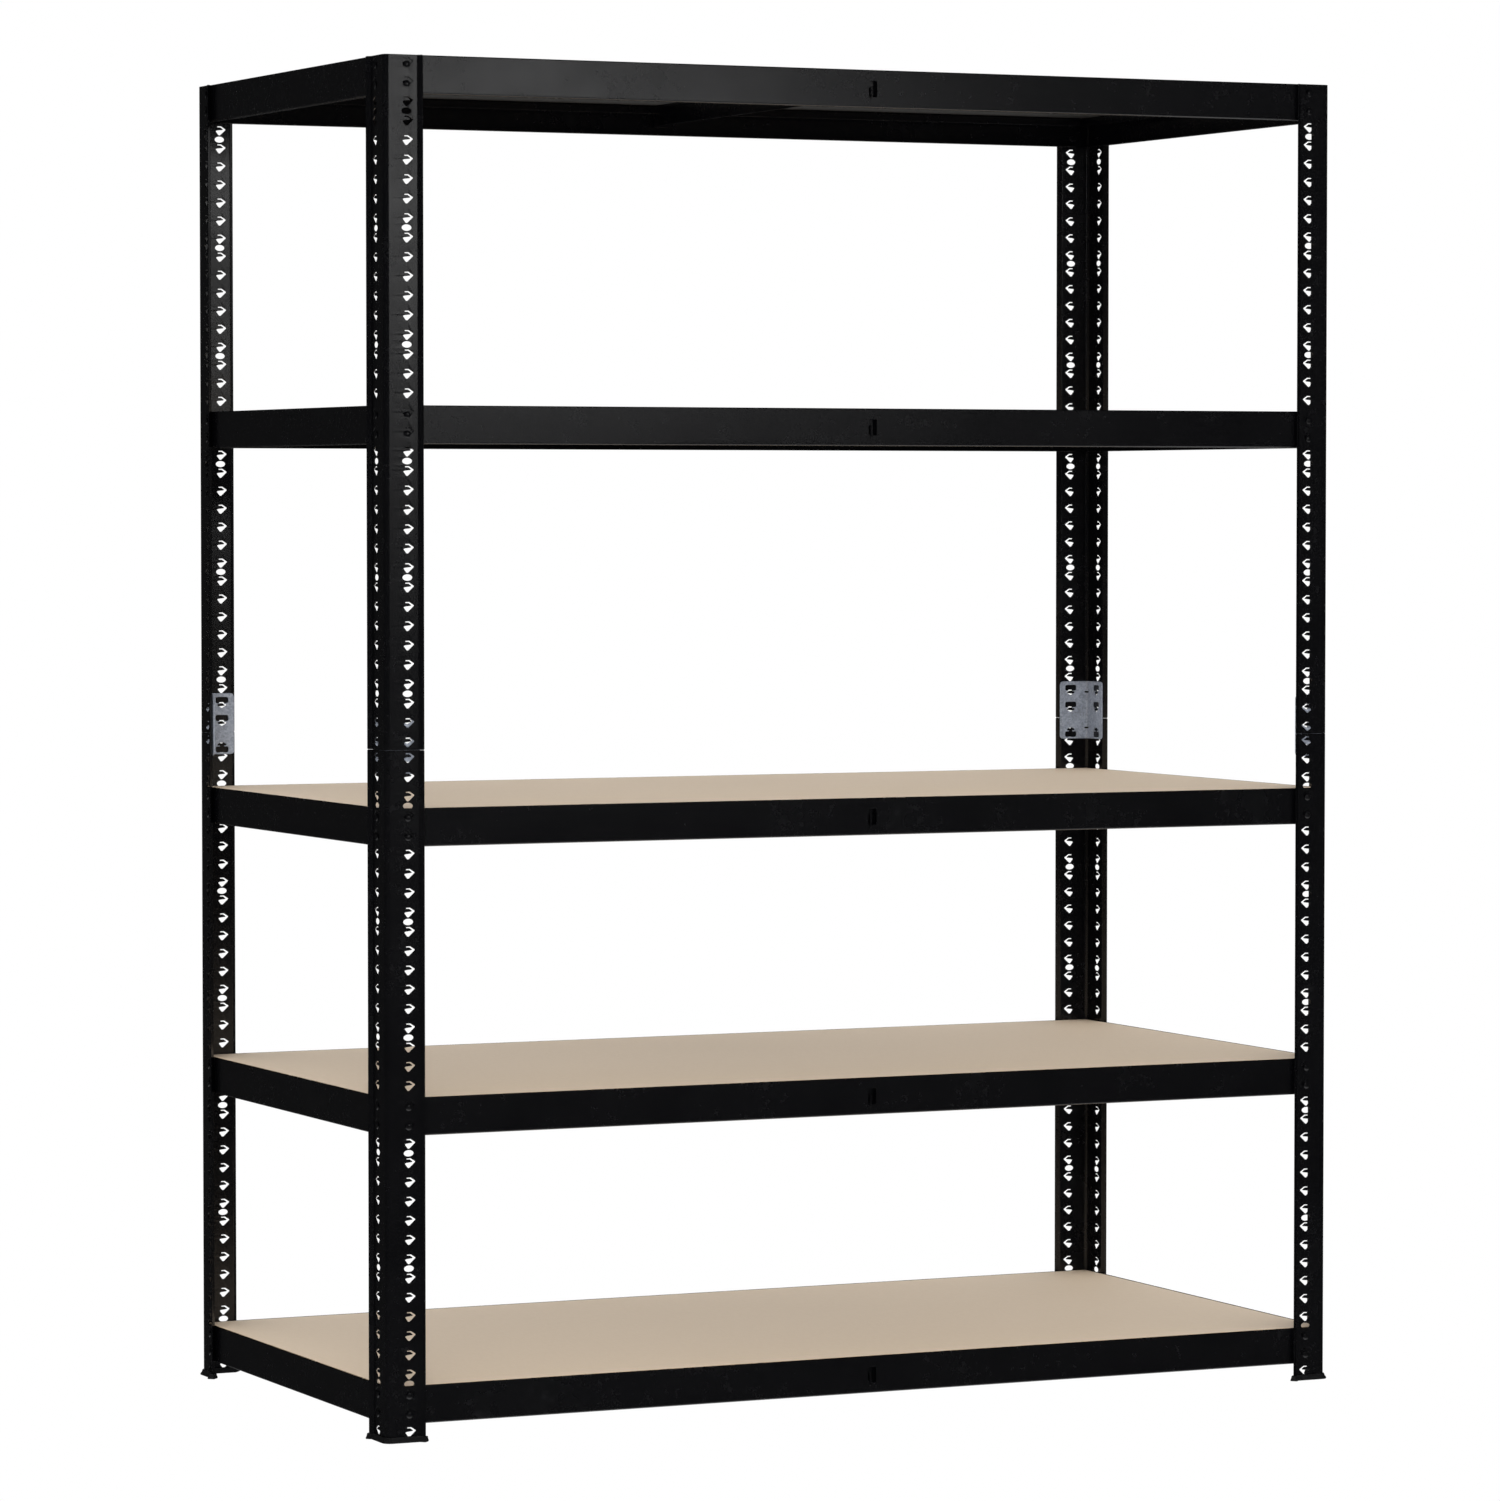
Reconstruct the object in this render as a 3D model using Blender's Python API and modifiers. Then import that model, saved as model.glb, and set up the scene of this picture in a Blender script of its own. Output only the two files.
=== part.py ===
"""Boltless steel shelving: five boards on riveted beams between four two-piece angle uprights.

The origin is on the floor, under the middle of the rack. X runs along the long side, Y towards
the back and Z up. All sizes are in metres. The beams' rivets hang in the uprights' keyholes, the
boards lie on the beams' ledges, and a galvanised angle joins the two uprights of each corner.
"""

import math

import bmesh
import bpy
from mathutils import Matrix

# ---- driving dimensions -------------------------------------------------------------------
WIDTH = 1.400                   # across the uprights' outer faces, along X
DEPTH = 0.700                   # the same, along Y
UPRIGHT_LENGTH = 0.895          # one upright; two stand end to end at each corner
FIT_GAP = 0.0003                # left between faces that touch
EPSILON = 1e-6                  # weld distance for coincident points

FLANGE = 0.046                  # each leg of an upright's angle, up to its lip's crease
LIP = 0.0075                    # the leg's free edge, which flares outwards
LIP_ANGLE = 45.0
UPRIGHT_STEEL = 0.0015
UPRIGHT_BEND = 0.0055           # outside radius of the angle's corner
BEND_STEPS = 3

KEYHOLE_PITCH = 0.025
KEYHOLE_COUNT = 36              # in each leg of an upright
KEYHOLE_INSET = 0.031           # from the angle's outer corner to the rivets' column
FIRST_SEAT = 0.0125             # from an upright's top end down to its first rivet seat
SEAT_HALF_WIDTH = 0.0026        # the narrow bottom, which the rivet's shank sits in
SEAT_DROP = 0.0034              # below the seated shank's axis
WAIST_HEIGHT = 0.0040           # of the keyhole's widest place above the seat
TIP_REACH = 0.0105              # from the column to the tip that points away from the corner
BACK_REACH = 0.0068             # from the column towards the corner
KEYHOLE_TOP = 0.0092            # above the seat

BEAM_STEEL = 0.0012
BEAM_HEIGHT = 0.050
BEAM_END_INSET = 0.0055         # from the uprights' outer faces to the beams' ends
HEM_WIDTH = 0.0027              # the folded rim along a beam's top
LEDGE_REACH = 0.0215            # how far the ledge reaches in from the web's outer face
LEDGE_LIP = 0.0200              # the ledge's inner edge turns down to this depth
BOTTOM_LIP_REACH = 0.0120
NOTCH_LENGTH = 0.0215           # a long beam's ends are plain web over this length
RIVET_PITCH = KEYHOLE_PITCH
FIRST_RIVET = FIRST_SEAT        # below a beam's top edge

RIVET_SHANK_RADIUS = 0.0030
RIVET_HEAD_RADIUS = 0.0047
RIVET_HEAD_HEIGHT = 0.0018
RIVET_CROWN = 0.7               # the head's flat crown as a share of its radius
RIVET_ROOT = 0.0006             # how deep the shank is staked into the web
RIVET_SIDES = 8

SLOT_HALF_WIDTH = 0.006         # the centre support's slot in a long beam
SLOT_TOP = 0.0145
SLOT_BOTTOM = 0.036

BOARD_THICKNESS = 0.008
BOARD_CLEARANCE = 0.0015        # from the board's edge to the beams' rims
BOARD_EDGE_BEVEL = 0.0008

SUPPORT_STEM = 0.0024           # thickness of the centre support's doubled web
SUPPORT_STEM_OFFSET = -0.003    # from the slot's middle
SUPPORT_TOP_WIDTH = 0.030
SUPPORT_TAB_TOP = 0.0225        # below the beam's top edge
SUPPORT_HOOK_DROP = 0.0040      # how far a hook reaches below its slot's bottom edge
SUPPORT_HOOK_DEPTH = 0.0012
SUPPORT_LEDGE_CLEARANCE = 0.0005

CONNECTOR_STEEL = 0.002
CONNECTOR_LEG = 0.047
CONNECTOR_LENGTH = 0.085
CONNECTOR_ABOVE_JOINT = 0.054
TONGUE_HALF_WIDTH = 0.0028
TONGUE_HALF_HEIGHT = 0.0028
TONGUE_REACH = 0.0022           # how far a tongue stands out into its keyhole
WINDOW_HALF_WIDTH = 0.0095
WINDOW_HALF_HEIGHT = 0.0045
WINDOW_OFFSET = 0.0112          # from a tongue's middle to its window's middle

FOOT_FLOOR = 0.003              # plastic under the upright's end
FOOT_HEIGHT = 0.0075
FOOT_FLARE = 0.0050             # how far the foot's base stands out from the upright's faces
FOOT_RIM = 0.0020               # the same at the foot's top
FOOT_INNER = 0.0035             # how far the base stands in from the upright's inner face
FOOT_END = 0.0025               # how far the base runs past the upright's lips

# A shelf hangs with its upper rivets in this keyhole, counted from the upright's top end.
UPPER, LOWER = "upper", "lower"
SHELVES = ((UPPER, 0), (UPPER, 18), (LOWER, 3), (LOWER, 18), (LOWER, 33))

# Each corner's side of the rack along X and Y, and the turn of its angle about Z.
CORNERS = {
    "front_left": (-1, -1, 0.0),
    "front_right": (1, -1, 90.0),
    "back_right": (1, 1, 180.0),
    "back_left": (-1, 1, 270.0),
}

# ---- places worked out from them ----------------------------------------------------------
UPRIGHT_BASE = {LOWER: FOOT_FLOOR, UPPER: FOOT_FLOOR + UPRIGHT_LENGTH}
JOINT_HEIGHT = FOOT_FLOOR + UPRIGHT_LENGTH
WEB_INSET = UPRIGHT_STEEL + FIT_GAP            # from the outer faces to the beams' webs
CONNECTOR_BEND = UPRIGHT_BEND - WEB_INSET
CUT = 0.005                                    # how far cutters run past what they cut


def seat_height(tier, index):
    """Height above the floor of a keyhole's rivet seat."""
    return UPRIGHT_BASE[tier] + UPRIGHT_LENGTH - FIRST_SEAT - index * KEYHOLE_PITCH


# ---- mesh tools ---------------------------------------------------------------------------
def solid_mesh(obj):
    """Return the object's mesh with its modifiers applied, welded and facing out."""
    depsgraph = bpy.context.evaluated_depsgraph_get()
    mesh = bpy.data.meshes.new_from_object(obj.evaluated_get(depsgraph), depsgraph=depsgraph)
    mesh.transform(obj.matrix_world)
    bpy.data.objects.remove(obj)
    bm = bmesh.new()
    bm.from_mesh(mesh)
    bmesh.ops.remove_doubles(bm, verts=bm.verts, dist=EPSILON)
    bmesh.ops.recalc_face_normals(bm, faces=bm.faces)
    bm.to_mesh(mesh)
    bm.free()
    return mesh


def temporary(data):
    """Link mesh or curve data to the scene as a working object."""
    obj = bpy.data.objects.new("work", data)
    bpy.context.scene.collection.objects.link(obj)
    return obj


def flat_solid(outlines, low, high):
    """Extrude closed outlines in the XY plane from height low to height high."""
    curve = bpy.data.curves.new("outline", "CURVE")
    curve.dimensions = "2D"
    curve.fill_mode = "BOTH"
    curve.extrude = (high - low) / 2
    for outline in outlines:
        spline = curve.splines.new("POLY")
        spline.points.add(len(outline) - 1)
        for point, (x, y) in zip(spline.points, outline):
            point.co = (x, y, 0.0, 1.0)
        spline.use_cyclic_u = True
    mesh = solid_mesh(temporary(curve))
    mesh.transform(shift(z=(low + high) / 2))
    return mesh


def box(low, high):
    """A box between two corners."""
    middle = [(a + b) / 2 for a, b in zip(low, high)]
    size = [b - a for a, b in zip(low, high)]
    bm = bmesh.new()
    bmesh.ops.create_cube(bm, size=1.0)
    bmesh.ops.transform(bm, verts=bm.verts, matrix=shift(*middle) @ Matrix.Diagonal((*size, 1)))
    mesh = bpy.data.meshes.new("box")
    bm.to_mesh(mesh)
    bm.free()
    return mesh


def gathered(meshes):
    """Put separate meshes that don't touch into one."""
    bm = bmesh.new()
    for mesh in meshes:
        bm.from_mesh(mesh)
    result = bpy.data.meshes.new("gathered")
    bm.to_mesh(result)
    bm.free()
    return result


def moved(mesh, matrix):
    """A copy of the mesh under a transform."""
    copy = mesh.copy()
    copy.transform(matrix)
    return copy


def boolean(mesh, tool, operation):
    """Join the tool to the mesh, or cut it away, with the exact solver."""
    target = temporary(mesh)
    operand = temporary(tool)
    modifier = target.modifiers.new(operation.lower(), "BOOLEAN")
    modifier.object = operand
    modifier.operation = operation
    modifier.solver = "EXACT"
    result = solid_mesh(target)
    bpy.data.objects.remove(operand)
    return result


def turn(angle, axis="Z"):
    """A rotation by an angle in degrees."""
    return Matrix.Rotation(math.radians(angle), 4, axis)


def shift(x=0.0, y=0.0, z=0.0):
    """A translation."""
    return Matrix.Translation((x, y, z))


# ---- outlines -----------------------------------------------------------------------------
def arc(radius, centre):
    """Points of the quarter turn that joins a leg along +Y to a leg along +X."""
    steps = (math.pi + math.pi / 2 * i / BEND_STEPS for i in range(BEND_STEPS + 1))
    return [(centre + radius * math.cos(a), centre + radius * math.sin(a)) for a in steps]


def bent_angle(leg, thickness, bend):
    """Section of an angle whose outer corner is at the origin, with its legs along +X and +Y."""
    outer = arc(bend, bend)
    inner = arc(bend - thickness, bend)
    return [(0, leg)] + outer + [(leg, 0), (leg, thickness)] + inner[::-1] + [(thickness, leg)]


def upright_line(depth, end):
    """The line at a depth behind an upright's outer face, running past its lips by end."""
    tilt = math.radians(LIP_ANGLE)
    lip = LIP + end
    crease = (FLANGE + depth * math.tan(tilt / 2), depth)
    along = lip * math.cos(tilt) + depth * math.sin(tilt)
    tip = (FLANGE + along, depth * math.cos(tilt) - lip * math.sin(tilt))
    along_y = [(y, x) for x, y in (tip, crease)]
    return along_y + arc(UPRIGHT_BEND - depth, UPRIGHT_BEND) + [crease, tip]


def upright_section(out=0.0, inside=0.0, end=0.0):
    """An upright's section, grown outwards, inwards and past its lips."""
    return upright_line(-out, end) + upright_line(UPRIGHT_STEEL + inside, end)[::-1]


def keyhole(x, z):
    """A keyhole's outline round a seat at (x, z); its tip points away from the corner."""
    outline = [
        (SEAT_HALF_WIDTH, -SEAT_DROP),
        (TIP_REACH, WAIST_HEIGHT),
        (0, KEYHOLE_TOP),
        (-BACK_REACH, WAIST_HEIGHT),
        (-SEAT_HALF_WIDTH, -SEAT_DROP),
    ]
    return [(x + u, z + v) for u, v in outline]


def both_legs(outlines):
    """Cutters through an angle's two legs, from outlines in the XZ plane of its first leg."""
    first = flat_solid(outlines, -CUT, CUT)
    first.transform(turn(90, "X"))
    return gathered([first, moved(first, turn(90))])


# ---- the pieces' meshes -------------------------------------------------------------------
def upright_mesh():
    """An angle of bent sheet with a column of keyholes in each leg; its bottom end is at z = 0."""
    blank = flat_solid([upright_section()], FIT_GAP, UPRIGHT_LENGTH)
    seats = [UPRIGHT_LENGTH - FIRST_SEAT - i * KEYHOLE_PITCH for i in range(KEYHOLE_COUNT)]
    holes = both_legs([keyhole(KEYHOLE_INSET, z) for z in seats])
    return boolean(blank, holes, "DIFFERENCE")


def rivet_mesh():
    """A headed rivet along -Y, staked into a web whose outer face is at y = 0."""
    head_under = WEB_INSET + FIT_GAP
    head_top = head_under + RIVET_HEAD_HEIGHT
    profile = [
        (0, head_top),
        (RIVET_HEAD_RADIUS * RIVET_CROWN, head_top),
        (RIVET_HEAD_RADIUS, head_under),
        (RIVET_SHANK_RADIUS, head_under),
        (RIVET_SHANK_RADIUS, -RIVET_ROOT),
        (0, -RIVET_ROOT),
    ]
    mesh = bpy.data.meshes.new("rivet")
    mesh.from_pydata([(r, 0, h) for r, h in profile], [(i, i + 1) for i in range(len(profile) - 1)], [])
    obj = temporary(mesh)
    screw = obj.modifiers.new("turned", "SCREW")
    screw.steps = screw.render_steps = RIVET_SIDES
    screw.use_merge_vertices = True
    screw.merge_threshold = EPSILON
    turned = solid_mesh(obj)
    turned.transform(turn(90, "X"))
    return turned


def folded_beam(length):
    """Sheet folded into a beam along X: hemmed rim, ledge for the board, web and bottom lip.

    The web's outer face is at y = 0 and faces -Y, and the beam's top edge is at z = 0.
    """
    half = BEAM_STEEL / 2
    hem = HEM_WIDTH - half
    ledge = -(BOARD_THICKNESS + FIT_GAP + half)
    fold = [
        (LEDGE_REACH - half, -LEDGE_LIP),
        (LEDGE_REACH - half, ledge),
        (hem, ledge),
        (hem, -half),
        (half, -half),
        (half, half - BEAM_HEIGHT),
        (BOTTOM_LIP_REACH, half - BEAM_HEIGHT),
    ]
    bm = bmesh.new()
    line = [bm.verts.new((-length / 2, y, z)) for y, z in fold]
    edges = [bm.edges.new(pair) for pair in zip(line, line[1:])]
    grown = bmesh.ops.extrude_edge_only(bm, edges=edges)["geom"]
    far = [item for item in grown if isinstance(item, bmesh.types.BMVert)]
    bmesh.ops.translate(bm, verts=far, vec=(length, 0, 0))
    mesh = bpy.data.meshes.new("fold")
    bm.to_mesh(mesh)
    bm.free()
    obj = temporary(mesh)
    sheet = obj.modifiers.new("sheet", "SOLIDIFY")
    sheet.thickness = BEAM_STEEL
    sheet.offset = 0.0
    sheet.use_even_offset = True
    return solid_mesh(obj)


def riveted(beam, rivet_x):
    """Stake two rivets into each end of a beam."""
    rivet = rivet_mesh()
    places = [(x, -FIRST_RIVET - i * RIVET_PITCH) for x in (-rivet_x, rivet_x) for i in (0, 1)]
    rivets = gathered([moved(rivet, shift(x=x, z=z)) for x, z in places])
    return boolean(beam, rivets, "UNION")


def long_beam_mesh():
    """A front or back beam: its ends are plain web, and it has a slot for the centre support."""
    half = WIDTH / 2 - BEAM_END_INSET
    beam = folded_beam(2 * half)
    notches = []
    for side in (-1, 1):
        ends = sorted((side * (half - NOTCH_LENGTH), side * (half + CUT)))
        notches.append(box((ends[0], BEAM_STEEL, -BEAM_HEIGHT - CUT), (ends[1], LEDGE_REACH + CUT, CUT)))
    slot = box((-SLOT_HALF_WIDTH, -CUT, -SLOT_BOTTOM), (SLOT_HALF_WIDTH, BEAM_STEEL + FIT_GAP, -SLOT_TOP))
    beam = boolean(beam, gathered(notches + [slot]), "DIFFERENCE")
    return riveted(beam, WIDTH / 2 - KEYHOLE_INSET)


def side_beam_mesh():
    """A left or right beam, whose ledge runs its full length."""
    beam = folded_beam(DEPTH - 2 * BEAM_END_INSET)
    return riveted(beam, DEPTH / 2 - KEYHOLE_INSET)


def support_mesh():
    """The bar under a board's middle, along Y: a flat top on a doubled web with hooked ends."""
    web_out = DEPTH / 2 - WEB_INSET
    body_end = web_out - LEDGE_REACH - SUPPORT_LEDGE_CLEARANCE
    plate_top = -(BOARD_THICKNESS + FIT_GAP)
    plate_bottom = plate_top - BEAM_STEEL
    stem_top = (plate_top + plate_bottom) / 2
    tab_bottom = -SLOT_BOTTOM + FIT_GAP
    end = [
        (body_end, stem_top),
        (body_end, -SUPPORT_TAB_TOP),
        (web_out + FIT_GAP + SUPPORT_HOOK_DEPTH, -SUPPORT_TAB_TOP),
        (web_out + FIT_GAP + SUPPORT_HOOK_DEPTH, -SLOT_BOTTOM - SUPPORT_HOOK_DROP),
        (web_out + FIT_GAP, -SLOT_BOTTOM - SUPPORT_HOOK_DROP),
        (web_out + FIT_GAP, tab_bottom),
    ]
    outline = end + [(-y, z) for y, z in reversed(end)]
    stem = flat_solid([outline], -SUPPORT_STEM / 2, SUPPORT_STEM / 2)
    stem.transform(shift(x=SUPPORT_STEM_OFFSET) @ turn(90) @ turn(90, "X"))
    half_plate = SUPPORT_TOP_WIDTH / 2
    plate = box((-half_plate, -body_end, plate_bottom), (half_plate, body_end, plate_top))
    return boolean(plate, stem, "UNION")


def board_mesh():
    """A plain board whose top is flush with the beams' rims."""
    inset = WEB_INSET + HEM_WIDTH + BOARD_CLEARANCE
    half_x = WIDTH / 2 - inset
    half_y = DEPTH / 2 - inset
    obj = temporary(box((-half_x, -half_y, -BOARD_THICKNESS), (half_x, half_y, 0)))
    bevel = obj.modifiers.new("edges", "BEVEL")
    bevel.width = BOARD_EDGE_BEVEL
    bevel.segments = 1
    return solid_mesh(obj)


def connector_mesh():
    """The galvanised angle inside a corner's joint, with z = 0 at the joint.

    Each leg has three tongues that stand out into keyholes, two above the joint and one below,
    and the window that each tongue was pressed from.
    """
    top = CONNECTOR_ABOVE_JOINT
    section = bent_angle(CONNECTOR_LEG, CONNECTOR_STEEL, CONNECTOR_BEND)
    angle = flat_solid([section], top - CONNECTOR_LENGTH, top)
    x = KEYHOLE_INSET - WEB_INSET
    last = KEYHOLE_COUNT - 1
    seats = {seat_height(UPPER, i) - JOINT_HEIGHT: 1 for i in (last - 1, last)}
    seats[seat_height(LOWER, 0) - JOINT_HEIGHT] = -1
    windows = []
    tongues = []
    for z, side in seats.items():
        middle = z + side * WINDOW_OFFSET
        windows.append([(x + u * WINDOW_HALF_WIDTH, middle + v * WINDOW_HALF_HEIGHT)
                        for u, v in ((-1, -1), (1, -1), (1, 1), (-1, 1))])
        low = (x - TONGUE_HALF_WIDTH, -TONGUE_REACH, z - TONGUE_HALF_HEIGHT)
        high = (x + TONGUE_HALF_WIDTH, CONNECTOR_STEEL / 2, z + TONGUE_HALF_HEIGHT)
        tongue = box(low, high)
        mirror = Matrix(((0, 1, 0, 0), (1, 0, 0, 0), (0, 0, 1, 0), (0, 0, 0, 1)))
        other = moved(tongue, mirror)
        other.flip_normals()
        tongues += [tongue, other]
    angle = boolean(angle, both_legs(windows), "DIFFERENCE")
    return boolean(angle, gathered(tongues), "UNION")


def foot_mesh():
    """A plastic foot that flares towards the floor, with a groove for the upright's end."""
    base = upright_section(FOOT_FLARE, FOOT_INNER, FOOT_END)
    rim = upright_section(FOOT_RIM, FOOT_RIM, FOOT_RIM)
    bm = bmesh.new()
    low = [bm.verts.new((x, y, 0)) for x, y in base]
    high = [bm.verts.new((x, y, FOOT_HEIGHT)) for x, y in rim]
    bm.faces.new(low)
    bm.faces.new(high)
    for i, vertex in enumerate(low):
        bm.faces.new((low[i - 1], vertex, high[i], high[i - 1]))
    mesh = bpy.data.meshes.new("foot")
    bm.to_mesh(mesh)
    bm.free()
    body = solid_mesh(temporary(mesh))
    groove = flat_solid([upright_section(FIT_GAP, FIT_GAP, FIT_GAP)], FOOT_FLOOR, FOOT_HEIGHT + CUT)
    return boolean(body, groove, "DIFFERENCE")


# ---- materials and placing ----------------------------------------------------------------
def material(name, colour, roughness, metallic=0.0):
    """A plain Principled BSDF material."""
    result = bpy.data.materials.new(name)
    result.use_nodes = True
    shader = result.node_tree.nodes["Principled BSDF"]
    shader.inputs["Base Color"].default_value = (*colour, 1.0)
    shader.inputs["Roughness"].default_value = roughness
    shader.inputs["Metallic"].default_value = metallic
    return result


def place(name, mesh, finish, location=(0, 0, 0), angle=0.0, parent=None):
    """Make one named piece from a mesh that copies may share."""
    if not mesh.materials:
        mesh.materials.append(finish)
    obj = bpy.data.objects.new(name, mesh)
    obj.location = location
    obj.rotation_euler = (0, 0, math.radians(angle))
    obj.parent = parent
    rack.objects.link(obj)
    return obj


def corner_pieces(coat, zinc, plastic):
    """The four corners: two uprights, the connector at their joint, and a foot."""
    upright = upright_mesh()
    connector = connector_mesh()
    foot = foot_mesh()
    for corner, (side_x, side_y, angle) in CORNERS.items():
        x = side_x * WIDTH / 2
        y = side_y * DEPTH / 2
        for tier in (UPPER, LOWER):
            place(f"{tier}_upright_{corner}", upright, coat, (x, y, UPRIGHT_BASE[tier]), angle)
        inner_x = x - side_x * WEB_INSET
        inner_y = y - side_y * WEB_INSET
        place(f"upright_connector_{corner}", connector, zinc, (inner_x, inner_y, JOINT_HEIGHT), angle)
        place(f"foot_{corner}", foot, plastic, (x, y, 0), angle)


def shelf_pieces(coat, wood):
    """Five shelves, each under an empty at its beams' top edge that rises along Z."""
    long_beam = long_beam_mesh()
    side_beam = side_beam_mesh()
    support = support_mesh()
    board = board_mesh()
    web_x = WIDTH / 2 - WEB_INSET
    web_y = DEPTH / 2 - WEB_INSET
    for number, (tier, index) in enumerate(SHELVES, start=1):
        shelf = bpy.data.objects.new(f"shelf_{number}_lift", None)
        shelf.location = (0, 0, seat_height(tier, index) + FIRST_RIVET)
        rack.objects.link(shelf)
        name = f"shelf_{number}"
        place(f"{name}_front_beam", long_beam, coat, (0, -web_y, 0), 0, shelf)
        place(f"{name}_back_beam", long_beam, coat, (0, web_y, 0), 180, shelf)
        place(f"{name}_left_beam", side_beam, coat, (-web_x, 0, 0), -90, shelf)
        place(f"{name}_right_beam", side_beam, coat, (web_x, 0, 0), 90, shelf)
        place(f"{name}_centre_support", support, coat, (0, 0, 0), 0, shelf)
        place(f"{name}_board", board, wood, (0, 0, 0), 0, shelf)


for old in list(bpy.data.objects):
    bpy.data.objects.remove(old)

rack = bpy.data.collections.new("boltless_steel_shelving")
bpy.context.scene.collection.children.link(rack)

corner_pieces(
    coat=material("black_powder_coat", (0.012, 0.012, 0.014), 0.35),
    zinc=material("galvanised_steel", (0.55, 0.56, 0.57), 0.35, metallic=1.0),
    plastic=material("black_plastic", (0.02, 0.02, 0.02), 0.55),
)
shelf_pieces(
    coat=bpy.data.materials["black_powder_coat"],
    wood=material("fibreboard", (0.60, 0.50, 0.37), 0.6),
)
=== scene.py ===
"""The looks of the boltless steel shelving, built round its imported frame.

Sheet-metal pieces are made as they are in a press shop: a flat blank with its holes punched, then
folded along a path of straights and arcs. All sizes are in metres.
"""
import math

import bmesh
import bpy
from mathutils import Matrix, Vector


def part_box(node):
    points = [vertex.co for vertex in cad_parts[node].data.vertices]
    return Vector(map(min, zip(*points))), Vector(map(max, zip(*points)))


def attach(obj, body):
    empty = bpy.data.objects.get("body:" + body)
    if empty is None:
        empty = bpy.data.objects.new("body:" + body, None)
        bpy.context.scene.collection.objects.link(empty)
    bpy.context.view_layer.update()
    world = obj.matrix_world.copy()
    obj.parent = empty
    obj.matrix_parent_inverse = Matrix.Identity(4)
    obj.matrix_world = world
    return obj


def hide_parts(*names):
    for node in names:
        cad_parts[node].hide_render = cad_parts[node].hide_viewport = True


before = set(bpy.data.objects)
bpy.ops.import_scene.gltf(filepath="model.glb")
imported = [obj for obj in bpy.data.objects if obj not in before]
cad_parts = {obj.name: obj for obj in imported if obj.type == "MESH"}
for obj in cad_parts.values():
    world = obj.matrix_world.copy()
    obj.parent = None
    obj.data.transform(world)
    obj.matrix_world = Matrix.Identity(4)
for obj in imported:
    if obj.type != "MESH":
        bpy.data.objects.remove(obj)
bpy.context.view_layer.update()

# ---- sizes the solids are built to ----------------------------------------------------------
FIT_GAP = 0.0003                # between faces that touch

FLANGE = 0.046                  # each leg of an upright's angle, up to its lip's crease
LIP = 0.0075
LIP_ANGLE = 45.0
UPRIGHT_STEEL = 0.0015
KEYHOLE_PITCH = 0.025
KEYHOLE_COUNT = 36
KEYHOLE_INSET = 0.031           # from the angle's outer corner to the rivets' column
FIRST_SEAT = 0.0125

BEAM_STEEL = 0.0012
BEAM_HEIGHT = 0.050
BEAM_END_INSET = 0.0055
HEM_WIDTH = 0.0027
LEDGE_REACH = 0.0215
LEDGE_LIP = 0.0200
BOTTOM_LIP_REACH = 0.0120
NOTCH_LENGTH = 0.0215
RIVET_SHANK_RADIUS = 0.0030
RIVET_HEAD_RADIUS = 0.0047
RIVET_HEAD_HEIGHT = 0.0018
SLOT_HALF_WIDTH = 0.006
SLOT_TOP = 0.0145
SLOT_BOTTOM = 0.036

BOARD_THICKNESS = 0.008
BOARD_CLEARANCE = 0.0015

SUPPORT_STEM_OFFSET = -0.003
SUPPORT_TOP_WIDTH = 0.030
SUPPORT_TAB_TOP = 0.0225
SUPPORT_HOOK_DROP = 0.0040
SUPPORT_HOOK_DEPTH = 0.0012
SUPPORT_LEDGE_CLEARANCE = 0.0005

CONNECTOR_STEEL = 0.002
CONNECTOR_LEG = 0.047
CONNECTOR_LENGTH = 0.085
CONNECTOR_ABOVE_JOINT = 0.054
TONGUE_REACH = 0.0022
WINDOW_OFFSET = 0.0112

FOOT_FLOOR = 0.003
FOOT_HEIGHT = 0.0075
FOOT_FLARE = 0.0050
FOOT_RIM = 0.0020
FOOT_INNER = 0.0035
FOOT_END = 0.0025

WEB_INSET = UPRIGHT_STEEL + FIT_GAP
CORNERS = {
    "front_left": (-1, -1, 0.0),
    "front_right": (1, -1, 90.0),
    "back_right": (1, 1, 180.0),
    "back_left": (-1, 1, 270.0),
}
TIERS = ("upper", "lower")
SHELF_COUNT = 5

# ---- sizes only the looks have --------------------------------------------------------------
CUT_EDGE = 0.00025              # rounding of the sheets' cut edges
BOARD_EDGE = 0.0006             # the same on a board
UPRIGHT_BEND = 0.0068           # outside radius of an upright's corner, rounder than the solids'
CONNECTOR_BEND = UPRIGHT_BEND - WEB_INSET
CREASE_BEND = 0.0020            # mid-sheet radius of the crease at an upright's lip
BEND_STEP = math.radians(15)    # the arc that one facet of a bend covers
SHEET_CORNER = 0.0015           # radius of the corners of an upright's, board's or end flange's sheet
BEND_SLOT_HALF_LENGTH = 0.0045  # the two short slots across a connector's corner
BEND_SLOT_HALF_HEIGHT = 0.0012
BEND_SLOT_INSET = 0.016         # from a connector's ends
CONNECTOR_CORNER = 0.005
END_FLANGE_DEPTH = 0.0085       # of the flange on a centre support's end, behind the beam's web
END_FLANGE_HALF_WIDTH = 0.011
END_FLANGE_TOP = 0.011          # below the beam's top edge
END_FLANGE_BOTTOM = 0.039
OVAL_HALF_WIDTH = 0.0070
OVAL_HALF_HEIGHT = 0.0042
OVAL_PITCH = 0.150
FIRST_OVAL = 0.072              # from an upright's top end down to its first oval hole
OVAL_COUNT = 6

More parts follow.
